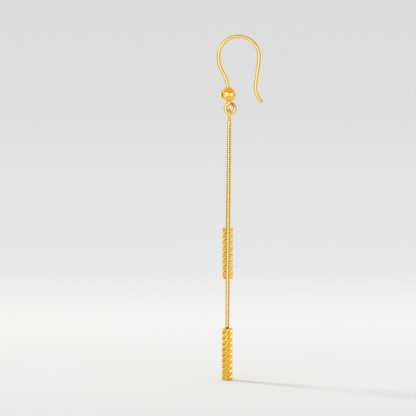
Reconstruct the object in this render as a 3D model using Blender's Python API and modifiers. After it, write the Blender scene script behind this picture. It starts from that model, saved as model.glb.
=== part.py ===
"""A yellow gold drop earring on a bent ear wire.

A wire hook carries a ball bead and ends in a turned eye. A jump ring hangs in the eye, with two
soldered cups under it. A snake chain hangs from each cup, a short one and a long one, and each
ends in a square tube bar that is closed below and cut all round with slanting V grooves.

Units are metres, +Z is up. The origin is the inside top of the hook's arch, where it lies in the
ear. -X is the front of the ear, +X is the back, and the long chain hangs on the -Y side.
"""

import math

import bmesh
import bpy
from mathutils import Matrix, Vector

MM = 0.001

# Ear wire, bent in the XZ plane. Radii are those of the wire's centre line.
WIRE_D = 0.74 * MM
ARCH_R = 4.36 * MM
SHOULDER_R = 6.2 * MM
SHOULDER_ANGLE = 28.0
SHOULDER_RUN = 1.2 * MM
NECK_R = 6.0 * MM
NECK_ANGLE = 22.0
NECK_RUN = 0.35 * MM
TAIL_LEAN_R = 9.0 * MM
TAIL_LEAN_ANGLE = 8.0
TAIL_RUN = 4.6 * MM
TAIL_CURL_R = 4.6 * MM
TAIL_CURL_ANGLE = 49.0
TAIL_TIP_RUN = 0.5 * MM

# Turned eye at the hook's lower end. The wire's cut end lies beside the neck.
EYE_R = 1.02 * MM
EYE_BREAK_R = 0.5 * MM
EYE_BREAK_ANGLE = 69.0
EYE_TURN = 402.0
EYE_CROSS_START = 350.0
EYE_CROSS_END = 445.0

# Hollow ball bead, threaded on the neck and seated on the eye
BEAD_D = 3.17 * MM
BEAD_WALL = 0.25 * MM
BEAD_BORE_D = 1.06 * MM

# Jump ring and the two soldered cups under it
RING_OUTER_D = 2.5 * MM
RING_WIRE_D = 0.6 * MM
RING_SHIFT = 0.17 * MM
CUP_DEPTH = 0.8 * MM
CUP_BORE_D = 0.56 * MM

# Snake chains
CHAIN_D = 0.9 * MM
CHAIN_GROOVE = 0.07 * MM
LINK_PITCH = 0.48 * MM
LONG_CHAIN_LENGTH = 44.3 * MM
SHORT_CHAIN_LENGTH = 22.6 * MM
LONG_CHAIN_LEAN = 0.42 * MM
LONG_CHAIN_SWAY = 0.14 * MM
SHORT_CHAIN_LEAN = 0.3 * MM
CHAIN_POST_D = 0.44 * MM
STOP_SIDE = 0.94 * MM
STOP_HEIGHT = 0.8 * MM

# Square tube bars
BAR_SIDE = 1.62 * MM
BAR_WALL = 0.28 * MM
BAR_ROUNDING = 0.07 * MM
LONG_BAR_LENGTH = 11.3 * MM
SHORT_BAR_LENGTH = 11.2 * MM
LONG_BAR_TURN = 40.0
SHORT_BAR_TURN = 45.0
LONG_BAR_CUTS = 9
SHORT_BAR_CUTS = 8
CUT_DEPTH = 0.16 * MM
CUT_LAND = 0.12 * MM
CUT_MARGIN = 0.1 * MM
# Shares of a cut: its full-depth middle, and its depth and width at the ends
CUT_FLAT = 0.3
CUT_FADE = 0.12

# Clearances
SEAT_GAP = 0.05 * MM
CHAIN_GAP = 0.04 * MM
HOLE_PLAY = 0.05 * MM
FACE_GAP = 0.05 * MM

# Mesh fineness
BEND_CHORD = 0.45 * MM
BEND_STEP = 15.0
ROUND_SIDES = 16
BEAD_ROWS = 12
BEAD_INNER_ROWS = 6
CHAIN_SIDES = 10
LINK_WIRE_SIDES = 6

GOLD = (0.83, 0.58, 0.17)
PALE_GOLD = (0.88, 0.70, 0.33)


def clear_scene():
    for obj in list(bpy.data.objects):
        bpy.data.objects.remove(obj, do_unlink=True)


def new_collection(name):
    collection = bpy.data.collections.new(name)
    bpy.context.scene.collection.children.link(collection)
    return collection


def gold(name, colour, roughness):
    material = bpy.data.materials.new(name)
    material.use_nodes = True
    shader = material.node_tree.nodes["Principled BSDF"]
    shader.inputs["Base Color"].default_value = (*colour, 1.0)
    shader.inputs["Metallic"].default_value = 1.0
    shader.inputs["Roughness"].default_value = roughness
    return material


def add_object(name, mesh, collection, material=None):
    obj = bpy.data.objects.new(name, mesh)
    collection.objects.link(obj)
    if material:
        mesh.materials.append(material)
    return obj


def mesh_from(name, build):
    """A mesh filled by build(bm)."""
    mesh = bpy.data.meshes.new(name)
    bm = bmesh.new()
    build(bm)
    bm.to_mesh(mesh)
    bm.free()
    return mesh


def make_cutter(obj):
    obj.hide_render = True
    obj.display_type = "WIRE"
    return obj


def boolean(obj, other, operation):
    modifier = obj.modifiers.new(f"{operation.title()} {other.name}", "BOOLEAN")
    modifier.operation = operation
    modifier.object = other
    modifier.solver = "EXACT"


def evaluated_mesh(obj, name):
    """The mesh that obj has after its modifiers, or a curve's tube with its caps welded on."""
    graph = bpy.context.evaluated_depsgraph_get()
    mesh = bpy.data.meshes.new_from_object(obj.evaluated_get(graph))
    mesh.name = name
    bm = bmesh.new()
    bm.from_mesh(mesh)
    bmesh.ops.remove_doubles(bm, verts=bm.verts, dist=0.001 * MM)
    bm.to_mesh(mesh)
    bm.free()
    return mesh


def replace_with_mesh(obj, collection, material):
    """Swaps a curve, or an object with modifiers, for a plain mesh object of the same name."""
    name = obj.name
    mesh = evaluated_mesh(obj, name)
    place = obj.matrix_world.copy()
    bpy.data.objects.remove(obj, do_unlink=True)
    mesh.materials.clear()
    solid = add_object(name, mesh, collection, material)
    solid.matrix_world = place
    return solid


def smooth(obj, angle=35.0):
    obj.data.shade_smooth()
    obj.data.set_sharp_from_angle(angle=math.radians(angle))


def turned(name, profile, sides, collection, material):
    """A profile of (radius, height) turned round Z. The profile's outer side runs top to bottom."""
    mesh = bpy.data.meshes.new(name)
    edges = [(i, (i + 1) % len(profile)) for i in range(len(profile))]
    if profile[0][0] == 0.0:
        edges.pop()
    mesh.from_pydata([(radius, 0.0, height) for radius, height in profile], edges, [])
    obj = add_object(name, mesh, collection, material)
    screw = obj.modifiers.new("Turn", "SCREW")
    screw.axis = "Z"
    screw.steps = sides
    screw.render_steps = sides
    screw.use_merge_vertices = True
    screw.merge_threshold = 0.000001
    return obj


# Ear wire

def bend_points(start, heading, steps):
    """Points (x, z) and headings along a wire bent by steps, a straight run or a bend each.

    A straight is its length. A bend is (radius, angle), and turns left where the angle is positive.
    """
    x, z = start
    points = [(x, z, heading)]
    for step in steps:
        if isinstance(step, float):
            x += step * math.cos(math.radians(heading))
            z += step * math.sin(math.radians(heading))
            points.append((x, z, heading))
            continue
        radius, angle = step
        arc = radius * math.radians(abs(angle))
        count = max(math.ceil(arc / BEND_CHORD), math.ceil(abs(angle) / BEND_STEP))
        turn = angle / count
        chord = 2 * radius * math.sin(math.radians(abs(turn)) / 2)
        for _ in range(count):
            middle = math.radians(heading + turn / 2)
            x += chord * math.cos(middle)
            z += chord * math.sin(middle)
            heading += turn
            points.append((x, z, heading))
    return points


def smoothstep(value):
    t = min(max(value, 0.0), 1.0)
    return t * t * (3 - 2 * t)


def front_limb():
    """The wire from the arch's top down through the bead to where the eye starts."""
    neck = NECK_RUN + BEAD_D + SEAT_GAP
    steps = [
        (ARCH_R, 90.0),
        (SHOULDER_R, SHOULDER_ANGLE),
        SHOULDER_RUN,
        (NECK_R, -NECK_ANGLE),
        neck,
    ]
    return bend_points((0.0, WIRE_D / 2), 180.0, steps)


def tail_limb():
    """The wire from the arch's top down to the tail's tip, behind the ear."""
    steps = [
        (ARCH_R, -90.0),
        (TAIL_LEAN_R, -TAIL_LEAN_ANGLE),
        TAIL_RUN,
        (TAIL_CURL_R, TAIL_CURL_ANGLE),
        TAIL_TIP_RUN,
    ]
    return bend_points((0.0, WIRE_D / 2), 0.0, steps)


def eye_points():
    """The turned eye: points (x, z, heading) from the end of the front limb to the wire's cut end."""
    x, z, heading = front_limb()[-1]
    return bend_points((x, z), heading, [(EYE_BREAK_R, -EYE_BREAK_ANGLE), (EYE_R, EYE_TURN)])


def eye_centre():
    """Centre (x, z) of the turned eye."""
    x, z, heading = eye_points()[-1]
    side = math.radians(heading + 90)
    return x + EYE_R * math.cos(side), z + EYE_R * math.sin(side)


def eye_side_step(heading):
    """How far the eye's wire has stepped aside, in +Y, so that its end passes the neck."""
    past = (heading - 90 - EYE_CROSS_START) / (EYE_CROSS_END - EYE_CROSS_START)
    return (WIRE_D + SEAT_GAP) * smoothstep(past)


def bead_place():
    """Centre of the bead and the neck's tilt in degrees. The bead sits on the top of the eye."""
    x, z, heading = front_limb()[-1]
    eye_top = eye_centre()[1] + EYE_R + WIRE_D / 2
    centre_z = eye_top + SEAT_GAP + BEAD_D / 2
    along = (z - centre_z) / math.sin(math.radians(heading))
    return Vector((x - along * math.cos(math.radians(heading)), 0.0, centre_z)), heading - 270


def make_ear_hook(collection, material):
    tail = [(x, 0.0, z) for x, z, _ in reversed(tail_limb())]
    front = [(x, 0.0, z) for x, z, _ in front_limb()[1:]]
    eye = [(x, eye_side_step(heading), z) for x, z, heading in eye_points()[1:]]
    points = [*tail, *front, *eye]
    curve = bpy.data.curves.new("ear_hook", "CURVE")
    curve.dimensions = "3D"
    curve.bevel_depth = WIRE_D / 2
    curve.bevel_resolution = 2
    curve.use_fill_caps = True
    # The tail's tip is rounded: extra points narrow it over the last half of a wire's width.
    tip = Vector(points[0])
    inward = (Vector(points[1]) - tip).normalized()
    rounded = [(share, math.sqrt(1 - (1 - share) ** 2)) for share in (0.04, 0.2, 0.5)]
    spline = curve.splines.new("POLY")
    spline.points.add(len(points) + len(rounded) - 1)
    for point, (share, width) in zip(spline.points, rounded):
        point.co = (*(tip + inward * share * WIRE_D / 2), 1.0)
        point.radius = width
    points[0] = tip + inward * WIRE_D / 2
    for point, place in zip(spline.points[len(rounded):], points):
        point.co = (*place, 1.0)
    obj = bpy.data.objects.new("ear_hook", curve)
    collection.objects.link(obj)
    hook = replace_with_mesh(obj, collection, material)
    smooth(hook, 50.0)
    return hook


# Bead

def make_bead(collection, material):
    outer, inner = BEAD_D / 2, BEAD_D / 2 - BEAD_WALL
    bore = BEAD_BORE_D / 2
    outer_start, inner_start = math.asin(bore / outer), math.asin(bore / inner)
    profile = []
    for i in range(BEAD_ROWS + 1):
        angle = outer_start + (math.pi - 2 * outer_start) * i / BEAD_ROWS
        profile.append((outer * math.sin(angle), outer * math.cos(angle)))
    for i in range(BEAD_INNER_ROWS + 1):
        angle = math.pi - inner_start - (math.pi - 2 * inner_start) * i / BEAD_INNER_ROWS
        profile.append((inner * math.sin(angle), inner * math.cos(angle)))
    bead = turned("hook_bead", profile, ROUND_SIDES, collection, material)
    centre, tilt = bead_place()
    bead.location = centre
    bead.rotation_euler = (0.0, -math.radians(tilt), 0.0)
    smooth(bead)
    return bead


# Jump ring with its cups

def ring_centre():
    """The ring hangs with its inside top on the inside bottom of the eye."""
    x, z = eye_centre()
    eye_inside = z - EYE_R + WIRE_D / 2
    centre_z = eye_inside + SEAT_GAP + RING_WIRE_D / 2 - ring_radius()
    return Vector((x - RING_SHIFT, 0.0, centre_z))


def ring_radius():
    return (RING_OUTER_D - RING_WIRE_D) / 2


def chain_side():
    """Each chain's distance from the middle plane where it leaves its cup."""
    return (CHAIN_D + CHAIN_GAP) / 2


def cup_bottom():
    return ring_centre().z - RING_OUTER_D / 2 - CUP_DEPTH


def make_jump_ring(collection, cutters, material):
    centre = ring_centre()
    radius = ring_radius()
    bpy.ops.mesh.primitive_torus_add(
        major_segments=ROUND_SIDES, minor_segments=LINK_WIRE_SIDES,
        major_radius=radius, minor_radius=RING_WIRE_D / 2,
        location=centre, rotation=(0.0, math.pi / 2, 0.0),
    )
    ring = bpy.context.object
    ring.name = ring.data.name = "jump_ring"
    ring.data.materials.append(material)
    for owner in ring.users_collection:
        owner.objects.unlink(ring)
    collection.objects.link(ring)

    side = chain_side()
    cup_top = centre.z - math.sqrt(radius ** 2 - side ** 2)
    for name, y in (("front", -side), ("back", side)):
        def fill_cup(bm):
            bmesh.ops.create_cone(
                bm, cap_ends=True, segments=ROUND_SIDES, radius1=CHAIN_D / 2, radius2=CHAIN_D / 2,
                depth=cup_top - cup_bottom(),
            )

        def fill_bore(bm):
            bmesh.ops.create_cone(
                bm, cap_ends=True, segments=ROUND_SIDES, radius1=CUP_BORE_D / 2,
                radius2=CUP_BORE_D / 2, depth=2 * (CUP_DEPTH - FACE_GAP),
            )

        cup = add_object(f"{name}_cup", mesh_from("cup", fill_cup), cutters)
        cup.location = (centre.x, y, (cup_top + cup_bottom()) / 2)
        boolean(ring, make_cutter(cup), "UNION")
        bore = add_object(f"{name}_cup_bore", mesh_from("cup_bore", fill_bore), cutters)
        bore.location = (centre.x, y, cup_bottom())
        boolean(ring, make_cutter(bore), "DIFFERENCE")
    smooth(ring)
    return ring


# Bars

def long_chain_end():
    """Where the long chain's axis meets the top of its bar."""
    top = ring_centre()
    return Vector((
        top.x - LONG_CHAIN_LEAN, -chain_side() - LONG_CHAIN_SWAY, cup_bottom() - LONG_CHAIN_LENGTH,
    ))


def short_chain_end():
    """The short bar hangs behind the long chain, and its corner clears that chain."""
    top = ring_centre()
    share = (SHORT_CHAIN_LENGTH + SHORT_BAR_LENGTH) / LONG_CHAIN_LENGTH
    chain_y = -chain_side() - LONG_CHAIN_SWAY * min(share, 1.0)
    half_corner = BAR_SIDE / math.sqrt(2)
    y = chain_y + CHAIN_D / 2 + CHAIN_GAP + half_corner
    return Vector((top.x - SHORT_CHAIN_LEAN, y, cup_bottom() - SHORT_CHAIN_LENGTH))


def groove_cutters(name, face, length, cuts, cutters):
    """Slanting V cutters across one side face of an upright bar whose top is at height 0.

    Each cut climbs by one pitch across the face, so the cuts of the four faces join into a
    slanting thread. It is deepest in the middle of the face and fades towards the corners.
    """
    pitch = (length - 2 * CUT_MARGIN) / cuts
    slope = math.atan2(pitch, BAR_SIDE)
    half_width = (pitch * math.cos(slope) - CUT_LAND) / 2
    reach = BAR_SIDE / math.cos(slope)
    # The cutter stands proud of the face, so that its open side never lies in it.
    proud = CUT_DEPTH

    def section(along, share):
        deep = CUT_DEPTH * share
        wide = half_width * share * (deep + proud) / deep
        return [(along, 0.0, -deep), (along, wide, proud), (along, -wide, proud)]

    def fill(bm):
        for i in range(cuts):
            shares = ((-0.5, CUT_FADE), (-CUT_FLAT / 2, 1.0), (CUT_FLAT / 2, 1.0), (0.5, CUT_FADE))
            rows = []
            for where, share in shares:
                rows.append([bm.verts.new(point) for point in section(where * reach, share)])
            bm.faces.new(rows[0])
            bm.faces.new(reversed(rows[-1]))
            for first, last in zip(rows, rows[1:]):
                for j in range(3):
                    k = (j + 1) % 3
                    bm.faces.new((first[k], first[j], last[j], last[k]))
            place = (
                Matrix.Rotation(face * math.pi / 2, 4, "Z")
                @ Matrix.Translation((0.0, -BAR_SIDE / 2, -CUT_MARGIN - (i + 0.5) * pitch))
                @ Matrix.Rotation(math.pi / 2, 4, "X")
                @ Matrix.Rotation(slope, 4, "Z")
            )
            new = [vert for row in rows for vert in row]
            bmesh.ops.transform(bm, matrix=place, verts=new)
        bmesh.ops.recalc_face_normals(bm, faces=bm.faces)

    return make_cutter(add_object(name, mesh_from(name, fill), cutters))


def make_bar(name, end, length, turn, cuts, collection, cutters, material):
    """A square tube bar, closed below, with a round hole for the chain in its top."""
    def fill_body(bm):
        bmesh.ops.create_cube(bm, size=1.0)
        bmesh.ops.scale(bm, vec=(BAR_SIDE, BAR_SIDE, length), verts=bm.verts)
        bmesh.ops.translate(bm, vec=(0.0, 0.0, -length / 2), verts=bm.verts)

    def fill_hollow(bm):
        inner = BAR_SIDE - 2 * BAR_WALL
        bmesh.ops.create_cube(bm, size=1.0)
        bmesh.ops.scale(bm, vec=(inner, inner, length - 2 * BAR_WALL), verts=bm.verts)
        bmesh.ops.translate(bm, vec=(0.0, 0.0, -length / 2), verts=bm.verts)

    def fill_hole(bm):
        radius = CHAIN_D / 2 + HOLE_PLAY
        bmesh.ops.create_cone(
            bm, cap_ends=True, segments=ROUND_SIDES, radius1=radius, radius2=radius,
            depth=4 * BAR_WALL,
        )

    bar = add_object(name, mesh_from(name, fill_body), collection, material)
    bevel = bar.modifiers.new("Rounded edges", "BEVEL")
    bevel.width = BAR_ROUNDING
    bevel.segments = 1
    place = bpy.data.objects.new(f"{name}_place", None)
    collection.objects.link(place)
    place.location = end
    place.rotation_euler = (0.0, 0.0, math.radians(turn))
    bar.parent = place
    inside = add_object(f"{name}_hollow", mesh_from("hollow", fill_hollow), cutters)
    hole = add_object(f"{name}_hole", mesh_from("hole", fill_hole), cutters)
    tools = [make_cutter(inside), make_cutter(hole)]
    for face in range(4):
        tools.append(groove_cutters(f"{name}_cuts_{face}", face, length, cuts, cutters))
    for tool in tools:
        tool.parent = place
        boolean(bar, tool, "DIFFERENCE")
    smooth(bar, 12.0)
    return bar


# Chains

def make_chain(name, side, end, turn, collection, cutters, material):
    """A snake chain fused into one ribbed rod, from its post in the cup to its stop in the bar."""
    top = Vector((ring_centre().x, side, cup_bottom() - FACE_GAP))
    links = round((top.z - end.z) / LINK_PITCH)
    pitch = (top.z - end.z) / links
    ridge, groove, post = CHAIN_D / 2, CHAIN_D / 2 - CHAIN_GROOVE, CHAIN_POST_D / 2
    profile = [(0.0, CUP_DEPTH / 2), (post, CUP_DEPTH / 2), (post, 0.0)]
    for i in range(links):
        profile.append((groove, -i * pitch))
        profile.append((ridge, -(i + 0.5) * pitch))
    neck_end = -links * pitch - BAR_WALL - FACE_GAP - STOP_HEIGHT / 2
    profile += [(groove, -links * pitch), (groove, neck_end), (0.0, neck_end)]
    rod = turned(name, profile, CHAIN_SIDES, collection, material)
    rod.location = top
    bpy.context.view_layer.update()
    chain = replace_with_mesh(rod, collection, material)
    # The chain leans from its cup to its bar.
    lean = (end - top) / (end.z - top.z)
    for vert in chain.data.vertices:
        vert.co.x += lean.x * min(max(vert.co.z, end.z - top.z), 0.0)
        vert.co.y += lean.y * min(max(vert.co.z, end.z - top.z), 0.0)

    def fill_stop(bm):
        bmesh.ops.create_cube(bm, size=1.0)
        bmesh.ops.scale(bm, vec=(STOP_SIDE, STOP_SIDE, STOP_HEIGHT), verts=bm.verts)

    stop = add_object(f"{name}_stop", mesh_from("stop", fill_stop), cutters)
    stop.location = end - Vector((0.0, 0.0, BAR_WALL + FACE_GAP + STOP_HEIGHT / 2))
    stop.rotation_euler = (0.0, 0.0, math.radians(turn))
    boolean(chain, make_cutter(stop), "UNION")
    smooth(chain, 60.0)
    return chain


def main():
    clear_scene()
    parts = new_collection("drop_earring")
    cutters = new_collection("cutters")
    make_ear_hook(parts, gold("hook_gold", PALE_GOLD, 0.16))
    make_bead(parts, gold("bead_gold", GOLD, 0.12))
    make_jump_ring(parts, cutters, gold("ring_gold", PALE_GOLD, 0.18))
    long_end, short_end = long_chain_end(), short_chain_end()
    side = chain_side()
    make_chain("long_chain", -side, long_end, LONG_BAR_TURN, parts, cutters,
               gold("long_chain_gold", PALE_GOLD, 0.25))
    make_chain("short_chain", side, short_end, SHORT_BAR_TURN, parts, cutters,
               gold("short_chain_gold", PALE_GOLD, 0.25))
    make_bar("long_bar", long_end, LONG_BAR_LENGTH, LONG_BAR_TURN, LONG_BAR_CUTS, parts, cutters,
             gold("long_bar_gold", GOLD, 0.12))
    make_bar("short_bar", short_end, SHORT_BAR_LENGTH, SHORT_BAR_TURN, SHORT_BAR_CUTS, parts, cutters,
             gold("short_bar_gold", GOLD, 0.12))


main()
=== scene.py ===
import math

import bmesh
import bpy
from mathutils import Matrix, Vector


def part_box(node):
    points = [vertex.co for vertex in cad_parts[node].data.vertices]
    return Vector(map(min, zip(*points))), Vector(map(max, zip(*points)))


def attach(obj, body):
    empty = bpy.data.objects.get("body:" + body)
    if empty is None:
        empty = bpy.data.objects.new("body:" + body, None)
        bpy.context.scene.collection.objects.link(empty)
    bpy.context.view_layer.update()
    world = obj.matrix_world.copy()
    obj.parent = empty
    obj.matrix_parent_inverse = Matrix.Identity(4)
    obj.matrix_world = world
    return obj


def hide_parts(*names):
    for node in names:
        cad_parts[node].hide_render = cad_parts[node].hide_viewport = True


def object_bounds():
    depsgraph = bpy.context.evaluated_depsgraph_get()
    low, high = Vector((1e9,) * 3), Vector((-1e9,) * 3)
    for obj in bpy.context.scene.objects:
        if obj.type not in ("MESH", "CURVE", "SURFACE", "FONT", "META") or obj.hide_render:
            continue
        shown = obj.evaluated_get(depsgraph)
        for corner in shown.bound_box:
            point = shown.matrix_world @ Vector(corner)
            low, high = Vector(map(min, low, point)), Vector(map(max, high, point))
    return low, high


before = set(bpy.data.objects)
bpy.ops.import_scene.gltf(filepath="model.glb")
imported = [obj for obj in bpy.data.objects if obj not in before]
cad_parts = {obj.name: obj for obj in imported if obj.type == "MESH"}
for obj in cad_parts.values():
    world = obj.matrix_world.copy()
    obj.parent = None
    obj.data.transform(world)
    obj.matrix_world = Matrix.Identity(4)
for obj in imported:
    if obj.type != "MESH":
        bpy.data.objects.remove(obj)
cad_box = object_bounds()

# The studio: a pale seamless floor under an even white sky, with the long bar's foot just over it.
# A long lens looks at the earring from a little above. Bent cards stand round it for the gold to
# mirror, and a low soft sun from behind on the left lays the shadow to the right.
MM = 0.001
CAMERA_DISTANCE = 500.0
CAMERA_HEIGHT_ANGLE = 6.5
FRAME_WIDTH = 89.7
FRAME_CENTRE = (-6.6, 0.0, -36.6)
SENSOR = 36.0

camera_data = bpy.data.cameras.new("camera")
camera_data.sensor_width = SENSOR
camera_data.lens = SENSOR * CAMERA_DISTANCE / FRAME_WIDTH
camera_data.clip_start = 0.01
camera_data.clip_end = 30.0
camera = bpy.data.objects.new("camera", camera_data)
bpy.context.scene.collection.objects.link(camera)
camera_tilt = math.radians(CAMERA_HEIGHT_ANGLE)
camera_look = Vector((0.0, math.cos(camera_tilt), -math.sin(camera_tilt)))
camera.location = (Vector(FRAME_CENTRE) - camera_look * CAMERA_DISTANCE) * MM
camera.rotation_euler = (math.pi / 2 - camera_tilt, 0.0, 0.0)
bpy.context.scene.camera = camera
bpy.context.scene.view_settings.view_transform = "Standard"


def add_node(tree, kind, inputs=None, **settings):
    """A new node. Each of its inputs takes a value or the output of another node."""
    node = tree.nodes.new(kind)
    for name, value in settings.items():
        setattr(node, name, value)
    for name, value in (inputs or {}).items():
        if isinstance(value, bpy.types.NodeSocket):
            tree.links.new(value, node.inputs[name])
        else:
            node.inputs[name].default_value = value
    return node


def ramp_node(tree, value, stops):
    """A ramp of greys over a value, with (place, grey) stops."""
    ramp = add_node(tree, "ShaderNodeValToRGB", {"Fac": value})
    elements = ramp.color_ramp.elements
    while len(elements) < len(stops):
        elements.new(0.5)
    for element, (place, tone) in zip(elements, stops):
        element.position = place
        element.color = (tone, tone, tone, 1.0)
    return ramp.outputs["Color"]


FLOOR_RADIUS = 6000.0
FLOOR_SIDES = 128
FLOOR_GAP = 0.09
FLOOR_ROUGHNESS = 0.9
FLOOR_SHINE = 0.1
# The floor's painted light and shade, brightest a little behind the foot and darker far off: how far
# behind the foot, and how pale it is painted
FLOOR_PAINTED_LIGHT = (
    (-40.0, 0.82), (70.0, 0.905), (108.0, 0.89), (175.0, 0.805), (800.0, 0.735), (3200.0, 0.72),
)
floor_start, floor_end = FLOOR_PAINTED_LIGHT[0][0], FLOOR_PAINTED_LIGHT[-1][0]
floor_material = bpy.data.materials.new("pale_floor")
floor_material.use_nodes = True
tree = floor_material.node_tree
position = add_node(tree, "ShaderNodeNewGeometry").outputs["Position"]
behind = add_node(tree, "ShaderNodeSeparateXYZ", {"Vector": position}).outputs["Y"]
along = add_node(tree, "ShaderNodeMapRange", {
    "Value": behind, "From Min": floor_start * MM, "From Max": floor_end * MM,
}).outputs["Result"]
tone = ramp_node(tree, along, [
    ((place - floor_start) / (floor_end - floor_start), pale) for place, pale in FLOOR_PAINTED_LIGHT
])
shader = tree.nodes["Principled BSDF"]
tree.links.new(tone, shader.inputs["Base Color"])
shader.inputs["Roughness"].default_value = FLOOR_ROUGHNESS
shader.inputs["Specular IOR Level"].default_value = FLOOR_SHINE

floor_mesh = bpy.data.meshes.new("floor")
bm = bmesh.new()
bmesh.ops.create_circle(bm, cap_ends=True, segments=FLOOR_SIDES, radius=FLOOR_RADIUS * MM)
bm.to_mesh(floor_mesh)
bm.free()
floor_mesh.materials.append(floor_material)
floor = bpy.data.objects.new("floor", floor_mesh)
bpy.context.scene.collection.objects.link(floor)
floor.location.z = cad_box[0].z - FLOOR_GAP * MM

# The sky's tone: how far up from level (0) to straight overhead (1), and how pale
SKY_TONES = ((0.0, 1.0), (0.6, 1.0), (0.75, 0.85), (1.0, 0.5))
SKY_BRIGHTNESS = 0.92
world = bpy.data.worlds.new("white_studio")
bpy.context.scene.world = world
world.use_nodes = True
tree = world.node_tree
direction = add_node(tree, "ShaderNodeTexCoord").outputs["Generated"]
height = add_node(tree, "ShaderNodeSeparateXYZ", {"Vector": direction}).outputs["Z"]
sky = ramp_node(tree, height, SKY_TONES)
background = tree.nodes["Background"]
tree.links.new(sky, background.inputs["Color"])
background.inputs["Strength"].default_value = SKY_BRIGHTNESS


def add_light(name, kind, place, aim, **settings):
    """A light at a place, turned to shine at aim. The camera doesn't see it."""
    data = bpy.data.lights.new(name, kind)
    for key, value in settings.items():
        setattr(data, key, value)
    light = bpy.data.objects.new(name, data)
    bpy.context.scene.collection.objects.link(light)
    light.location = Vector(place) * MM
    light.rotation_euler = (Vector(aim) - Vector(place)).to_track_quat("-Z", "Y").to_euler()
    light.visible_camera = False
    return light


CARD_STEPS = 24
CARD_FADE = 0.25
CARD_LIFT = 1.0
NEAR_CARD_LIFT = 0.4
OPEN_SKY = (SKY_BRIGHTNESS, SKY_BRIGHTNESS, SKY_BRIGHTNESS)


def side_card(name, angles, distance, bottom, top, tone, edge_tone=None):
    """A bent card that only the gold's reflections show. It can fade at its top and sides."""
    bm = bmesh.new()
    painted = bm.verts.layers.float_color.new("tone")
    rows = []
    for up in (0.0, 1.0 - CARD_FADE, 1.0):
        row = []
        for i in range(CARD_STEPS + 1):
            along = i / CARD_STEPS
            turn = math.radians(angles[0] + (angles[1] - angles[0]) * along)
            height = bottom + (top - bottom) * up
            place = Vector((distance * math.sin(turn), -distance * math.cos(turn), height))
            vert = bm.verts.new(place * MM)
            share = min(1.0, min(1.0 - up, along, 1.0 - along) / CARD_FADE)
            faded = Vector(edge_tone or tone).lerp(Vector(tone), share)
            vert[painted] = (*faded, 1.0)
            row.append(vert)
        rows.append(row)
    for lower, upper in zip(rows, rows[1:]):
        for i in range(CARD_STEPS):
            bm.faces.new((lower[i], lower[i + 1], upper[i + 1], upper[i]))
    mesh = bpy.data.meshes.new(name)
    bm.to_mesh(mesh)
    bm.free()
    material = bpy.data.materials.new(name)
    material.use_nodes = True
    tree = material.node_tree
    shader = tree.nodes["Principled BSDF"]
    shader.inputs["Base Color"].default_value = (0.0, 0.0, 0.0, 1.0)
    shader.inputs["Specular IOR Level"].default_value = 0.0
    shader.inputs["Emission Strength"].default_value = 1.0
    paint = add_node(tree, "ShaderNodeAttribute", attribute_name="tone")
    tree.links.new(paint.outputs["Color"], shader.inputs["Emission Color"])
    mesh.materials.append(material)
    card = bpy.data.objects.new(name, mesh)
    bpy.context.scene.collection.objects.link(card)
    card.visible_camera = card.visible_diffuse = card.visible_shadow = False


# The gold mirrors a brown card on the left and a warm one on the right, a pale card close by on
# each side for the bars' flat lands, a warm ceiling, and a dark frame over the right window.
foot_height = floor.location.z / MM
side_card("brown_card", angles=(-80.0, -172.0), distance=130.0, bottom=foot_height + CARD_LIFT,
          top=30.0, tone=(0.56, 0.4, 0.12), edge_tone=OPEN_SKY)
side_card("pale_card", angles=(-84.0, -118.0), distance=45.0, bottom=foot_height + NEAR_CARD_LIFT,
          top=-69.3, tone=(1.05, 1.3, 2.2))
side_card("right_card", angles=(64.0, 108.0), distance=130.0, bottom=foot_height + CARD_LIFT,
          top=60.0, tone=(0.78, 0.70, 0.52))
side_card("near_card", angles=(58.0, 104.0), distance=45.0, bottom=foot_height + NEAR_CARD_LIFT,
          top=-67.0, tone=(0.95, 1.0, 1.3))
side_card("ceiling_card", angles=(-180.0, 180.0), distance=150.0, bottom=82.0, top=3500.0,
          tone=(0.78, 0.65, 0.36))
side_card("window_frame", angles=(8.0, 78.0), distance=100.0, bottom=40.0, top=70.0,
          tone=(0.18, 0.06, 0.0))

SUN_PLACE = (-90.0, 44.0, 60.0)
SUN_STRENGTH = 1.35
SUN_SOFTNESS = 12.0
sun = add_light("soft_sun", "SUN", SUN_PLACE, (0.0, 0.0, 0.0), energy=SUN_STRENGTH,
                angle=math.radians(SUN_SOFTNESS))
sun.visible_glossy = False

# The ear wire: one length of round drawn gold wire, bent round pegs into the ear's arch. Its tail is
# filed round, and its front end is turned into an eye with the cut end lying beside the neck.
# All lengths below are millimetres. The path repeats the bends of the solid part, in finer steps.
WIRE_D = 0.74
SEAT_GAP = 0.05
BEAD_D = 3.17
FRONT_BENDS = ((4.36, 90.0), (6.2, 28.0), 1.2, (6.0, -22.0), 0.35 + BEAD_D + SEAT_GAP)
TAIL_BENDS = ((4.36, -90.0), (9.0, -8.0), 4.6, (4.6, 49.0), 0.5)
EYE_R = 1.02
EYE_BENDS = ((0.5, -69.0), (EYE_R, 402.0))
# Between these directions the eye's wire moves over to lie behind the neck.
EYE_CROSS = (350.0, 445.0)
WIRE_STEP = 0.12
WIRE_SIDES = 32
TIP_ANGLES = range(6, 90, 12)
CUT_END_CHAMFER = 0.07
WIRE_CREASE = 40.0

WIRE_DEEP = (0.88, 0.60, 0.12)
WIRE_PALE = (0.88, 0.64, 0.16)


def bend_points(start, heading, bends):
    """Points (x, z, heading) along a bent wire. A bend is (radius, angle), left turns positive."""
    x, z = start
    points = [(x, z, heading)]
    for bend in bends:
        radius, angle = bend if isinstance(bend, tuple) else (0.0, 0.0)
        run = radius * math.radians(abs(angle)) if radius else bend
        steps = math.ceil(run / WIRE_STEP)
        for _ in range(steps):
            middle = math.radians(heading + angle / steps / 2)
            x += run / steps * math.cos(middle)
            z += run / steps * math.sin(middle)
            heading += angle / steps
            points.append((x, z, heading))
    return points


def smoothstep(value):
    """A step from 0 to 1 with soft ends."""
    t = min(max(value, 0.0), 1.0)
    return t * t * (3 - 2 * t)


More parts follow.
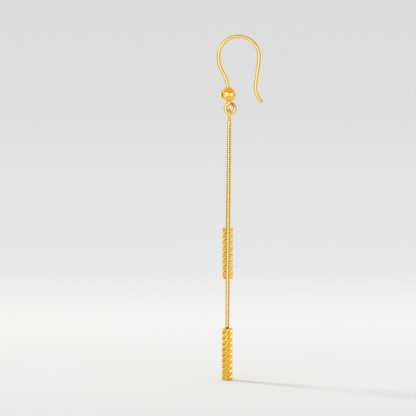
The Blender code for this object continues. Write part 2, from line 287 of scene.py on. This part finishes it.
def swept_wire(bm, points, radii, sides):
    """Sweeps a round section along points, with a flat cap at each end."""
    side = Vector((0.0, 1.0, 0.0))
    rings = []
    for i, (point, radius) in enumerate(zip(points, radii)):
        ahead = (points[min(i + 1, len(points) - 1)] - points[max(i - 1, 0)]).normalized()
        side = (side - ahead * side.dot(ahead)).normalized()
        up = ahead.cross(side)
        turns = [2 * math.pi * j / sides for j in range(sides)]
        rings.append([
            bm.verts.new(point + (side * math.cos(turn) + up * math.sin(turn)) * radius)
            for turn in turns
        ])
    join_rings(bm, rings)
    bm.faces.new(rings[0])
    bm.faces.new(reversed(rings[-1]))


def join_rings(bm, rings, material=0):
    """Faces between each ring of points and the next."""
    for first, second in zip(rings, rings[1:]):
        for j in range(len(first)):
            k = (j + 1) % len(first)
            face = bm.faces.new((first[k], first[j], second[j], second[k]))
            face.material_index = material


def make_piece(name, bm, materials, slot, crease, *nodes):
    """A finished piece from a mesh in millimetres, standing for the CAD nodes named.

    Edges that bend by more than crease degrees stay sharp.
    """
    bmesh.ops.recalc_face_normals(bm, faces=bm.faces)
    mesh = bpy.data.meshes.new(name)
    bm.to_mesh(mesh)
    bm.free()
    mesh.transform(Matrix.Scale(MM, 4))
    for material in materials:
        mesh.materials.append(material)
    mesh.shade_smooth()
    mesh.set_sharp_from_angle(angle=math.radians(crease))
    piece = bpy.data.objects.new(name, mesh)
    bpy.context.scene.collection.objects.link(piece)
    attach(piece, "root")
    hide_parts(*nodes)
    return piece


def new_group(name, inputs, outputs):
    """A shader node group with (name, kind, value) inputs and (name, kind) outputs."""
    group = bpy.data.node_groups.new(name, "ShaderNodeTree")
    for socket, kind, value in inputs:
        made = group.interface.new_socket(socket, in_out="INPUT", socket_type=kind)
        made.default_value = value
    for socket, kind in outputs:
        group.interface.new_socket(socket, in_out="OUTPUT", socket_type=kind)
    taken = group.nodes.new("NodeGroupInput").outputs
    given = group.nodes.new("NodeGroupOutput").inputs
    return group, taken, given


# Gold's own tone drifts a little over a piece. Where other surfaces close it in, it is painted brown:
# painted shade in crevices and between parts, standing also for tarnish where polish can't reach.
PATCH_LOW, PATCH_HIGH = 0.35, 0.65
UNSHADED_OPENNESS, SHADED_OPENNESS = 0.75, 0.3
alloy_tone, taken, given = new_group(
    "alloy_tone",
    [("Deep", "NodeSocketColor", (1.0, 0.6, 0.13, 1.0)),
     ("Pale", "NodeSocketColor", (1.0, 0.7, 0.24, 1.0)),
     ("Patches per metre", "NodeSocketFloat", 500.0),
     ("Shade and tarnish", "NodeSocketColor", (0.45, 0.2, 0.02, 1.0)),
     ("Shade and tarnish depth", "NodeSocketFloat", 0.0002),
     ("Shade and tarnish amount", "NodeSocketFloat", 0.6)],
    [("Colour", "NodeSocketColor")],
)
place = add_node(alloy_tone, "ShaderNodeTexCoord").outputs["Object"]
patches = add_node(alloy_tone, "ShaderNodeTexNoise", {
    "Vector": place, "Scale": taken["Patches per metre"], "Detail": 3.0,
}).outputs["Fac"]
spread = add_node(alloy_tone, "ShaderNodeMapRange", {
    "Value": patches, "From Min": PATCH_LOW, "From Max": PATCH_HIGH,
}).outputs["Result"]
tint = add_node(alloy_tone, "ShaderNodeMix", {
    0: spread, 6: taken["Deep"], 7: taken["Pale"],
}, data_type="RGBA")
# Painted shade: the less open the surface, the more its colour is mixed towards the dark shade and
# tarnish colour.
openness = add_node(alloy_tone, "ShaderNodeAmbientOcclusion", {
    "Distance": taken["Shade and tarnish depth"],
}, samples=6).outputs["AO"]
shade_and_tarnish_share = add_node(alloy_tone, "ShaderNodeMapRange", {
    "Value": openness, "From Min": UNSHADED_OPENNESS, "From Max": SHADED_OPENNESS,
    "To Max": taken["Shade and tarnish amount"],
}).outputs["Result"]
shaded_and_tarnished = add_node(alloy_tone, "ShaderNodeMix", {
    0: shade_and_tarnish_share, 6: tint.outputs[2], 7: taken["Shade and tarnish"],
}, data_type="RGBA")
alloy_tone.links.new(shaded_and_tarnished.outputs[2], given["Colour"])

# Buffing leaves fine lines along a piece, and wear leaves slightly duller patches.
WEAR_PER_METRE = 1400.0
FAINT_MARKS, STRONG_MARKS = 0.12, 0.38
buffed, taken, given = new_group(
    "buffed",
    [("Stretch", "NodeSocketVector", (1.0, 1.0, 1.0)),
     ("Lines per metre", "NodeSocketFloat", 9000.0),
     ("Smoothest", "NodeSocketFloat", 0.1),
     ("Roughest", "NodeSocketFloat", 0.2)],
    [("Roughness", "NodeSocketFloat"), ("Height", "NodeSocketFloat")],
)
place = add_node(buffed, "ShaderNodeTexCoord").outputs["Object"]
drawn_out = add_node(buffed, "ShaderNodeVectorMath", {
    0: place, 1: taken["Stretch"],
}, operation="MULTIPLY")
lines = add_node(buffed, "ShaderNodeTexNoise", {
    "Vector": drawn_out.outputs[0], "Scale": taken["Lines per metre"], "Detail": 2.0,
}).outputs["Fac"]
wear = add_node(buffed, "ShaderNodeTexNoise", {
    "Vector": place, "Scale": WEAR_PER_METRE, "Detail": 4.0,
}).outputs["Fac"]
mixed = add_node(buffed, "ShaderNodeMath", {0: lines, 1: wear}, operation="MULTIPLY")
rough = add_node(buffed, "ShaderNodeMapRange", {
    "Value": mixed.outputs[0], "From Min": FAINT_MARKS, "From Max": STRONG_MARKS,
    "To Min": taken["Smoothest"], "To Max": taken["Roughest"],
}).outputs["Result"]
buffed.links.new(rough, given["Roughness"])
buffed.links.new(lines, given["Height"])


MARK_HEIGHT = 0.02
COAT_ROUGHNESS = 0.06


def polished_gold(name, deep, pale, smoothest, roughest, edge=(1.0, 0.8, 0.45), coat=0.0,
                  stretch=(1.0, 1.0, 1.0), lines=9000.0, patches=500.0, shade_and_tarnish_depth=0.2,
                  shade_and_tarnish_amount=0.6, bump=0.03):
    """Solid gold with its tone, painted shade and tarnish, and buffing lines. Depths are in
    millimetres.
    """
    material = bpy.data.materials.new(name)
    material.use_nodes = True
    tree = material.node_tree
    colour = add_node(tree, "ShaderNodeGroup", node_tree=alloy_tone)
    colour.inputs["Deep"].default_value = (*deep, 1.0)
    colour.inputs["Pale"].default_value = (*pale, 1.0)
    colour.inputs["Patches per metre"].default_value = patches
    colour.inputs["Shade and tarnish depth"].default_value = shade_and_tarnish_depth * MM
    colour.inputs["Shade and tarnish amount"].default_value = shade_and_tarnish_amount
    finish = add_node(tree, "ShaderNodeGroup", node_tree=buffed)
    finish.inputs["Stretch"].default_value = stretch
    finish.inputs["Lines per metre"].default_value = lines
    finish.inputs["Smoothest"].default_value = smoothest
    finish.inputs["Roughest"].default_value = roughest
    relief = add_node(tree, "ShaderNodeBump", {
        "Height": finish.outputs["Height"], "Strength": bump, "Distance": MARK_HEIGHT * MM,
    })
    shader = tree.nodes["Principled BSDF"]
    shader.inputs["Metallic"].default_value = 1.0
    shader.inputs["Specular Tint"].default_value = (*edge, 1.0)
    shader.inputs["Coat Weight"].default_value = coat
    shader.inputs["Coat Roughness"].default_value = COAT_ROUGHNESS
    tree.links.new(colour.outputs["Colour"], shader.inputs["Base Color"])
    tree.links.new(finish.outputs["Roughness"], shader.inputs["Roughness"])
    tree.links.new(relief.outputs["Normal"], shader.inputs["Normal"])
    return material


WINDOW_DISTANCE = 110.0
BLUE_DAYLIGHT = (0.82, 1.05, 3.4)


def window_light(name, pieces, side_angle, width, bottom, top, brightness, colour,
                 distance=WINDOW_DISTANCE):
    """A soft window that only the pieces reflect, turned side_angle from the camera's side."""
    turn = math.radians(side_angle)
    middle = (bottom + top) / 2
    place = (distance * math.sin(turn), -distance * math.cos(turn), middle)
    tall = top - bottom
    light = add_light(
        name, "AREA", place, (0.0, 0.0, middle), shape="RECTANGLE", size=width * MM,
        size_y=tall * MM, energy=brightness * math.pi * width * tall * MM ** 2, color=colour,
    )
    light.visible_diffuse = False
    lit = bpy.data.collections.new(name + "_lights")
    for piece in pieces:
        lit.objects.link(piece)
    light.light_linking.receiver_collection = lit


hook_gold = polished_gold("hook_gold", WIRE_DEEP, WIRE_PALE, smoothest=0.3, roughest=0.4,
                          edge=(1.0, 0.6, 0.15), stretch=(1.0, 1.0, 0.15), shade_and_tarnish_amount=0.2)

front = bend_points((0.0, WIRE_D / 2), 180.0, FRONT_BENDS)
tail = bend_points((0.0, WIRE_D / 2), 0.0, TAIL_BENDS)
neck_x, neck_z, neck_heading = front[-1]
eye = bend_points((neck_x, neck_z), neck_heading, EYE_BENDS)
route = [Vector((x, 0.0, z)) for x, z, _ in reversed(tail)]
route += [Vector((x, 0.0, z)) for x, z, _ in front[1:]]
for x, z, heading in eye[1:]:
    past = (heading - 90.0 - EYE_CROSS[0]) / (EYE_CROSS[1] - EYE_CROSS[0])
    route.append(Vector((x, (WIRE_D + SEAT_GAP) * smoothstep(past), z)))

# The tail's tip is filed to a half ball, and the eye's cut end has a small chamfer.
tip, inward = route[0], (route[1] - route[0]).normalized()
shares = [1 - math.cos(math.radians(angle)) for angle in TIP_ANGLES]
rounded = [tip + inward * share * WIRE_D / 2 for share in shares]
widths = [math.sqrt(1 - (1 - share) ** 2) * WIRE_D / 2 for share in shares]
kept = [point for point in route if (point - tip).length > WIRE_D / 2]
outward = (kept[-1] - kept[-2]).normalized()
points = rounded + kept + [kept[-1] + outward * CUT_END_CHAMFER]
radii = widths + [WIRE_D / 2] * len(kept) + [WIRE_D / 2 - CUT_END_CHAMFER]
bm = bmesh.new()
swept_wire(bm, points, radii, WIRE_SIDES)
ear_wire = make_piece("ear_wire", bm, [hook_gold], "hook_gold", WIRE_CREASE, "ear_hook")
window_light("wire_window", [ear_wire], side_angle=-25.0, width=70.0, bottom=-80.0, top=60.0,
             brightness=1.25, colour=BLUE_DAYLIGHT)

# The bead: a hollow ball of polished gold sheet, two domes soldered at the middle and buffed until
# the seam is gone. The wire runs through its two holes, whose edges are pressed in a little.
BEAD_WALL = 0.25
BEAD_BORE_D = 1.06
BEAD_LIP = 0.09
LIP_ANGLES = (18, 36, 54, 72, 90)
BEAD_SIDES = 96
BEAD_ROWS = 56
BEAD_CREASE = 40.0
BEAD_DEEP = (1.0, 0.58, 0.035)
BEAD_PALE = (1.0, 0.63, 0.055)

bead_gold = polished_gold("bead_gold", BEAD_DEEP, BEAD_PALE, smoothest=0.07, roughest=0.13,
                          coat=1.0, lines=3000.0, shade_and_tarnish_depth=0.3, bump=0.015)


def turned(bm, profile, sides, closed=False):
    """Turns a profile of (radius, height) round Z. An open profile is capped at both ends."""
    rings = []
    for radius, height in profile:
        turns = [2 * math.pi * j / sides for j in range(sides)]
        rings.append([
            bm.verts.new((radius * math.cos(turn), radius * math.sin(turn), height)) for turn in turns
        ])
    join_rings(bm, rings + rings[:1] if closed else rings)
    if not closed:
        bm.faces.new(rings[0])
        bm.faces.new(reversed(rings[-1]))
    return [vert for ring in rings for vert in ring]


# The profile runs down the ball's outside from hole to hole, and back up its inside.
bore = BEAD_BORE_D / 2
lip_reach = bore + BEAD_LIP
outer, inner = BEAD_D / 2, BEAD_D / 2 - BEAD_WALL
start = math.asin(lip_reach / outer)
profile = []
for i in range(BEAD_ROWS + 1):
    angle = start + (math.pi - 2 * start) * i / BEAD_ROWS
    profile.append((outer * math.sin(angle), outer * math.cos(angle)))
lip_top = profile[0][1]
# Each lip rolls in from the ball's skin to the hole's wall.
lip = []
for angle in LIP_ANGLES:
    turn = math.radians(angle)
    lip.append((lip_reach - BEAD_LIP * math.sin(turn), lip_top - BEAD_LIP * (1 - math.cos(turn))))
inside = []
inner_start = math.asin(bore / inner)
for i in range(BEAD_ROWS // 2 + 1):
    angle = math.pi - inner_start - (math.pi - 2 * inner_start) * i * 2 / BEAD_ROWS
    inside.append((inner * math.sin(angle), inner * math.cos(angle)))
profile = [*reversed(lip), *profile, *[(radius, -height) for radius, height in lip], *inside]
bm = bmesh.new()
turned(bm, profile, BEAD_SIDES, closed=True)
low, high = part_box("hook_bead")
bead_centre = (low + high) / 2 / MM
bead_tilt = math.radians(neck_heading - 270.0)
bmesh.ops.transform(bm, verts=bm.verts, matrix=(
    Matrix.Translation(bead_centre) @ Matrix.Rotation(-bead_tilt, 4, "Y")
))
ball_bead = make_piece("ball_bead", bm, [bead_gold], "bead_gold", BEAD_CREASE, "hook_bead")
# Two tall windows, a faint wide one before the bead, and a low one far on the left
window_light("bead_left_window", [ball_bead], side_angle=-36.0, width=66.0, bottom=-50.0, top=56.0,
             brightness=1.0, colour=(0.15, 0.6, 4.8))
window_light("bead_right_window", [ball_bead], side_angle=50.0, width=68.0, bottom=-60.0, top=47.0,
             brightness=1.0, colour=(0.15, 0.6, 4.8))
window_light("bead_front_window", [ball_bead], side_angle=7.0, width=300.0, bottom=-60.0, top=40.0,
             brightness=0.16, colour=(0.2, 0.9, 2.0), distance=112.0)
window_light("bead_low_window", [ball_bead], side_angle=-62.0, width=96.0, bottom=-100.0, top=-34.0,
             brightness=0.4, colour=(0.3, 1.0, 4.0), distance=105.0)

# The jump ring: round wire closed and soldered, hanging in the eye. Under it two short cups are
# soldered side by side, one for each chain, and the solder has run into soft hollows.
RING_OUTER_D = 2.5
RING_WIRE_D = 0.6
CUP_D = 0.88
CUP_NECK_D = 0.56
CUP_BORE_D = 0.56
CHAIN_GAP = 0.04
CUP_BORE_DEPTH = 0.7
RING_STEPS = 96
RING_WIRE_SIDES = 28
CUP_SIDES = 40
SOLDER_GRAIN = 0.03
SOLDER_SOFTENING = 7
SOFTENING_SHARE = 0.5
FUSE_SCALE = 10.0
RING_CREASE = 60.0
RING_DEEP = (0.90, 0.61, 0.11)
RING_PALE = (0.92, 0.66, 0.16)

# The ring and cups get strong painted shade and tarnish in their closed-in hollows and joints.
ring_gold = polished_gold("ring_gold", RING_DEEP, RING_PALE, smoothest=0.22, roughest=0.32,
                          edge=(1.0, 0.6, 0.15), patches=900.0, shade_and_tarnish_depth=0.5,
                          shade_and_tarnish_amount=0.9)

low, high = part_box("jump_ring")
ring_radius = (RING_OUTER_D - RING_WIRE_D) / 2
ring_centre = Vector(((low.x + high.x) / 2 / MM, 0.0, high.z / MM - RING_OUTER_D / 2))
cup_bottom = low.z / MM
chain_side = (CUP_D + CHAIN_GAP) / 2
bm = bmesh.new()
rings = []
for i in range(RING_STEPS):
    round_ring = 2 * math.pi * i / RING_STEPS
    out = Vector((0.0, math.cos(round_ring), math.sin(round_ring)))
    middle = ring_centre + out * ring_radius
    section = []
    for j in range(RING_WIRE_SIDES):
        turn = 2 * math.pi * j / RING_WIRE_SIDES
        aside = out * math.cos(turn) + Vector((1.0, 0.0, 0.0)) * math.sin(turn)
        section.append(bm.verts.new(middle + aside * RING_WIRE_D / 2))
    rings.append(section)
join_rings(bm, rings + rings[:1])
cup_top = ring_centre.z - math.sqrt(ring_radius ** 2 - chain_side ** 2)
ring_bottom = ring_centre.z - RING_OUTER_D / 2
# One cup, from inside the ring's wire down its outside and up its bore: (radius, height)
cup_profile = [
    (0.16, cup_top + 0.1), (0.27, cup_top + 0.04), (CUP_NECK_D / 2, cup_top - 0.06),
    (CUP_NECK_D / 2, ring_bottom + 0.06), (CUP_NECK_D / 2 + 0.05, ring_bottom - 0.04),
    (CUP_D / 2 - 0.03, ring_bottom - 0.15), (CUP_D / 2, ring_bottom - 0.24),
    (CUP_D / 2, cup_bottom + 0.05), (CUP_D / 2 - 0.04, cup_bottom),
    (CUP_BORE_D / 2 + 0.03, cup_bottom), (CUP_BORE_D / 2, cup_bottom + 0.03),
    (CUP_BORE_D / 2, cup_bottom + CUP_BORE_DEPTH), (0.02, cup_bottom + CUP_BORE_DEPTH + 0.02),
]
for side in (-chain_side, chain_side):
    verts = turned(bm, cup_profile, CUP_SIDES)
    bmesh.ops.translate(bm, vec=(ring_centre.x, side, 0.0), verts=verts)
bmesh.ops.recalc_face_normals(bm, faces=bm.faces)
mesh = bpy.data.meshes.new("ring_rough")
bm.to_mesh(mesh)
bm.free()
# The ring and cups are fused at ten times their size, then brought back.
mesh.transform(Matrix.Scale(FUSE_SCALE, 4))
rough_ring = bpy.data.objects.new("ring_rough", mesh)
bpy.context.scene.collection.objects.link(rough_ring)
fuse = rough_ring.modifiers.new("fuse", "REMESH")
fuse.mode = "VOXEL"
fuse.voxel_size = SOLDER_GRAIN * FUSE_SCALE
fuse.use_smooth_shade = True
soften = rough_ring.modifiers.new("soften", "SMOOTH")
soften.factor = SOFTENING_SHARE
soften.iterations = SOLDER_SOFTENING
graph = bpy.context.evaluated_depsgraph_get()
fused = bpy.data.meshes.new_from_object(rough_ring.evaluated_get(graph))
bpy.data.objects.remove(rough_ring, do_unlink=True)
bm = bmesh.new()
bm.from_mesh(fused)
bmesh.ops.scale(bm, vec=(1 / FUSE_SCALE,) * 3, verts=bm.verts)
ring = make_piece("jump_ring_and_cups", bm, [ring_gold], "ring_gold", RING_CREASE, "jump_ring")
window_light("ring_window", [ring], side_angle=-30.0, width=66.0, bottom=-80.0, top=60.0,
             brightness=1.2, colour=BLUE_DAYLIGHT)

# The snake chains: thin wavy plates, each bent into a rounded square and nested in the next, so
# that they bend but don't kink. The plates' ends meet in a seam of small gaps, which drifts round
# the chain as it twists; the gaps look dark because the core and the plates' hidden faces are
# painted dark as shade. Each chain is soldered in its cup, and hangs into its bar's hole.
CHAIN_D = 0.9
CHAIN_SIDE = 0.82
CHAIN_CORNER = 0.29
SMALLEST_CORNER = 0.04
CHAIN_CREASE = 50.0
PLATE_PITCH = 0.48
PLATE_WAVE = 0.085
PLATE_SIDES = 48
SEAM_GAP = 0.12
SEAM_WIDTH = 17.0
SEAM_START = 9.0
SEAM_DRIFT = 0.9
NOTCH_RAMP = 8
CUP_CLEARANCE = 0.02
CORE_D = 0.6
CORE_SIDES = 24
CORE_IN_CUP = 0.3
CORE_IN_BAR = 0.6
BAR_STAND_OFF = 0.28
CHAIN_DEEP = (0.93, 0.70, 0.20)
CHAIN_PALE = (0.95, 0.77, 0.29)
# Dark browns painted on the chain's core and the plates' hidden faces as shade.
PAINTED_SHADE_DARK = (0.22, 0.08, 0.002)
PAINTED_SHADE_BROWN = (0.36, 0.15, 0.005)

# The chain's gold is strongly darkened where it is closed in, which is painted shade in the seam's
# gaps.
chain_gold = polished_gold("chain_gold", CHAIN_DEEP, CHAIN_PALE, smoothest=0.2, roughest=0.3,
                           edge=(1.0, 0.65, 0.2), lines=12000.0, patches=1500.0,
                           shade_and_tarnish_depth=0.15, shade_and_tarnish_amount=0.8)
chain_shadow = polished_gold("chain_shadow_gold", PAINTED_SHADE_DARK, PAINTED_SHADE_BROWN, smoothest=0.4,
                             roughest=0.6, edge=(0.45, 0.2, 0.02), patches=2000.0)

# One plate, from its hidden upper rim down its outside and up its inside: (radius inwards, height)
PLATE_PROFILE = (
    (0.13, 0.29), (0.06, 0.235), (0.018, 0.222), (0.003, 0.19), (0.0, 0.1), (0.0, -0.1),
    (0.003, -0.19), (0.018, -0.222), (0.05, -0.235), (0.09, -0.19), (0.15, -0.05), (0.17, 0.27),
)
# Between these two points of the profile the plate gets the chain's gold; the rest, its hidden rim
# and inside, gets the dark chain_shadow gold as painted shade.
PLATE_FRONT_TOP = 1
PLATE_FRONT_FOOT = 8


def square_reach(turn, inwards):
    """How far a rounded square's side lies from its middle, in the direction turn."""
    half = CHAIN_SIDE / 2 - inwards
    corner = max(CHAIN_CORNER - inwards, SMALLEST_CORNER)
    turn = abs((turn + math.pi / 4) % (math.pi / 2) - math.pi / 4)
    flat_end = half - corner
    if half * math.tan(turn) <= flat_end:
        return half / math.cos(turn)
    along = flat_end * (math.cos(turn) + math.sin(turn))
    across = flat_end * (math.cos(turn) - math.sin(turn))
    return along + math.sqrt(max(corner ** 2 - across ** 2, 0.0))


def snake_chain(name, side, node, bar_node):
    """One chain from its cup down to its bar: nested plates round a core painted dark as shade."""
    low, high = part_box(bar_node)
    top = Vector((ring_centre.x, side, cup_bottom - CUP_CLEARANCE))
    foot = Vector(((low.x + high.x) / 2, (low.y + high.y) / 2, high.z)) / MM
    down = foot - top
    count = round(-down.z / PLATE_PITCH)
    pitch = (-down.z - BAR_STAND_OFF) / count
    bm = bmesh.new()
    core = CORE_D / 2
    core_top = top + Vector((0.0, 0.0, CORE_IN_CUP))
    core_foot = foot - Vector((0.0, 0.0, CORE_IN_BAR))
    core_points = [core_top, top, foot, core_foot]
    swept_wire(bm, core_points, [core] * len(core_points), CORE_SIDES)
    # The core gets the dark shadow gold: painted shade inside the chain.
    for face in bm.faces:
        face.material_index = 1
    for i in range(count):
        middle = top + down * ((i + 0.5) * pitch / -down.z)
        seam = math.radians(SEAM_START + SEAM_DRIFT * (top.z - middle.z))
        rings = []
        for inwards, height in PLATE_PROFILE:
            ring = []
            for j in range(PLATE_SIDES):
                turn = 2 * math.pi * j / PLATE_SIDES
                from_seam = (math.degrees(turn - seam) + 90.0) % 180.0 - 90.0
                notch = SEAM_GAP * math.exp(-((from_seam / SEAM_WIDTH) ** 2))
                lift = PLATE_WAVE * math.cos(2 * (turn - seam))
                notch = math.copysign(notch, height) * min(1.0, abs(height) * NOTCH_RAMP)
                z = height * pitch / PLATE_PITCH + lift - notch
                radius = square_reach(turn - seam, inwards)
                ring.append(bm.verts.new(
                    middle + Vector((radius * math.sin(turn), -radius * math.cos(turn), z))
                ))
            rings.append(ring)
        join_rings(bm, rings[PLATE_FRONT_TOP:PLATE_FRONT_FOOT + 1])
        join_rings(bm, rings[PLATE_FRONT_FOOT:] + rings[:PLATE_FRONT_TOP + 1], material=1)
    return make_piece(name, bm, [chain_gold, chain_shadow], "chain_gold", CHAIN_CREASE, node)


chains = [
    snake_chain("long_snake_chain", -chain_side, "long_chain", "long_bar"),
    snake_chain("short_snake_chain", chain_side, "short_chain", "short_bar"),
]
window_light("chain_window", chains, side_angle=-18.0, width=60.0, bottom=-80.0, top=60.0,
             brightness=1.2, colour=BLUE_DAYLIGHT)

# The bars: square gold tube, closed with a soldered cap below and drilled on top for the chain.
# A turning diamond cuts slanting grooves across each face, deepest in the middle of the face, and
# leaves them mirror bright beside the plainly buffed lands. The grooves' gold is painted deeper and
# darker than the lands': painted shade.
BAR_SIDE = 1.62
BAR_WALL = 0.28
BAR_ROUNDING = 0.07
FOOT_ROUNDING = 0.1
SMALLEST_ROUNDING = 0.02
ROUNDING_STEPS = 6
HOLE_PLAY = 0.05
HOLE_SIDES = 48
WELD_DISTANCE = 0.0005
BAR_CREASE = 14.0
CUT_DEPTH = 0.12
CUT_LAND = 0.12
CUT_MARGIN = 0.1
CUT_FADE = 0.04
CUT_PROUD = 0.01
CUT_STEPS = 12
CUT_SIDES = 8
BAR_DEEP = (0.96, 0.61, 0.09)
BAR_PALE = (0.97, 0.66, 0.13)
CUT_SHADED_DEEP = (0.86, 0.45, 0.012)
CUT_SHADED_PALE = (0.91, 0.51, 0.025)

bar_gold = polished_gold("bar_gold", BAR_DEEP, BAR_PALE, smoothest=0.12, roughest=0.22,
                         coat=0.15, stretch=(1.0, 1.0, 0.1), patches=700.0)
# The cuts' material: the same gold painted darker and deeper, as shade in the grooves.
bar_cut_shaded_gold = polished_gold("bar_cut_shaded_gold", CUT_SHADED_DEEP, CUT_SHADED_PALE, smoothest=0.06, roughest=0.12,
                             coat=0.4, lines=5000.0, bump=0.02)


def square_ring(bm, side, rounding, height):
    """A ring of points round a square with rounded corners."""
    reach = side / 2 - rounding
    ring = []
    for corner in range(4):
        middle = math.radians(45.0 + 90.0 * corner)
        x = math.copysign(reach, math.cos(middle))
        y = math.copysign(reach, math.sin(middle))
        for i in range(ROUNDING_STEPS + 1):
            turn = math.radians(90.0 * corner + 90.0 * i / ROUNDING_STEPS)
            out = Vector((math.cos(turn), math.sin(turn), 0.0))
            ring.append(bm.verts.new(Vector((x, y, height)) + out * rounding))
    return ring


def bar_body(bm, length):
    """A solid square bar from height 0 down, with its top and foot edges rounded."""
    rings = [square_ring(bm, BAR_SIDE - 2 * BAR_ROUNDING, SMALLEST_ROUNDING, 0.0)]
    for angle in (30.0, 60.0, 90.0):
        inset = BAR_ROUNDING * (1 - math.sin(math.radians(angle)))
        drop = BAR_ROUNDING * (1 - math.cos(math.radians(angle)))
        rounding = max(BAR_ROUNDING - inset, SMALLEST_ROUNDING)
        rings.append(square_ring(bm, BAR_SIDE - 2 * inset, rounding, -drop))
    for angle in range(0, 91, 15):
        inset = FOOT_ROUNDING * (1 - math.cos(math.radians(angle)))
        rise = FOOT_ROUNDING * (1 - math.sin(math.radians(angle)))
        rings.append(square_ring(bm, BAR_SIDE - 2 * inset, BAR_ROUNDING, -length + rise))
    join_rings(bm, rings)
    bm.faces.new(rings[0])
    bm.faces.new(reversed(rings[-1]))


def groove_cutters(bm, length, cuts):
    """Canoe-shaped round cutters across the four faces. Each climbs one pitch over its face."""
    pitch = (length - 2 * CUT_MARGIN) / cuts
    slope = math.atan2(pitch, BAR_SIDE)
    half_width = (pitch * math.cos(slope) - CUT_LAND) / 2
    reach = BAR_SIDE / math.cos(slope)
    for face in range(4):
        for i in range(cuts):
            place = (
                Matrix.Rotation(face * math.pi / 2, 4, "Z")
                @ Matrix.Translation((0.0, -BAR_SIDE / 2, -CUT_MARGIN - (i + 0.5) * pitch))
                @ Matrix.Rotation(math.pi / 2, 4, "X")
                @ Matrix.Rotation(slope, 4, "Z")
            )
            rings = []
            for step in range(CUT_STEPS + 1):
                where = step / CUT_STEPS - 0.5
                share = 1.0 - (1.0 - CUT_FADE) * (2 * where) ** 2
                deep = CUT_DEPTH * share
                wide = half_width * share * math.sqrt((deep + CUT_PROUD) / deep)
                section = []
                for side in range(CUT_SIDES + 1):
                    across = 1.0 - 2.0 * side / CUT_SIDES
                    rise = (deep + CUT_PROUD) * across ** 2 - deep
                    section.append(Vector((where * reach, wide * across, rise)))
                rings.append([bm.verts.new(place @ point) for point in section])
            join_rings(bm, rings)
            bm.faces.new(rings[0])
            bm.faces.new(reversed(rings[-1]))


def helper(name, build, material):
    """A body or cutter that the bar is made with, and that is removed afterwards."""
    bm = bmesh.new()
    build(bm)
    bmesh.ops.recalc_face_normals(bm, faces=bm.faces)
    mesh = bpy.data.meshes.new(name)
    bm.to_mesh(mesh)
    bm.free()
    mesh.materials.append(material)
    obj = bpy.data.objects.new(name, mesh)
    bpy.context.scene.collection.objects.link(obj)
    return obj


def square_bar(name, node, cuts, turn):
    """A hollow bar with cuts across each face, turned round its own length."""
    low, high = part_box(node)
    length = (high.z - low.z) / MM

    def hollow(bm):
        inner = BAR_SIDE - 2 * BAR_WALL
        bmesh.ops.create_cube(bm, size=1.0)
        bmesh.ops.scale(bm, vec=(inner, inner, length - 2 * BAR_WALL), verts=bm.verts)
        bmesh.ops.translate(bm, vec=(0.0, 0.0, -length / 2), verts=bm.verts)

    def hole(bm):
        radius = CHAIN_D / 2 + HOLE_PLAY
        bmesh.ops.create_cone(bm, cap_ends=True, segments=HOLE_SIDES, radius1=radius, radius2=radius,
                              depth=4 * BAR_WALL)

    bar = helper("bar_body", lambda bm: bar_body(bm, length), bar_gold)
    tools = [
        helper("bar_hollow", hollow, bar_gold), helper("bar_hole", hole, bar_gold),
        helper("bar_grooves", lambda bm: groove_cutters(bm, length, cuts), bar_cut_shaded_gold),
    ]
    for tool in tools:
        cut = bar.modifiers.new(tool.name, "BOOLEAN")
        cut.operation = "DIFFERENCE"
        cut.object = tool
        cut.solver = "EXACT"
        cut.material_mode = "TRANSFER"
        cut.use_self = tool.name == "bar_grooves"
    graph = bpy.context.evaluated_depsgraph_get()
    made = bpy.data.meshes.new_from_object(bar.evaluated_get(graph))
    for used in [bar, *tools]:
        bpy.data.objects.remove(used, do_unlink=True)
    bm = bmesh.new()
    bm.from_mesh(made)
    bmesh.ops.remove_doubles(bm, verts=bm.verts, dist=WELD_DISTANCE)
    centre = Vector(((low.x + high.x) / 2, (low.y + high.y) / 2, high.z)) / MM
    bmesh.ops.transform(bm, verts=bm.verts, matrix=(
        Matrix.Translation(centre) @ Matrix.Rotation(math.radians(turn), 4, "Z")
    ))
    return make_piece(name, bm, list(made.materials), "bar_gold", BAR_CREASE, node)


long_bar = square_bar("long_cut_bar", "long_bar", cuts=9, turn=40.0)
short_bar = square_bar("short_cut_bar", "short_bar", cuts=8, turn=45.0)
window_light("long_bar_window", [long_bar], side_angle=46.0, width=36.0, bottom=-65.0, top=-34.0,
             brightness=3.4, colour=(0.8, 1.1, 9.5))
window_light("short_bar_right_window", [short_bar], side_angle=70.0, width=130.0, bottom=-75.0,
             top=10.0, brightness=0.4, colour=(0.25, 1.0, 7.0))
window_light("short_bar_left_window", [short_bar], side_angle=-70.0, width=60.0, bottom=-75.0,
             top=-20.0, brightness=0.9, colour=(0.6, 1.2, 7.0))
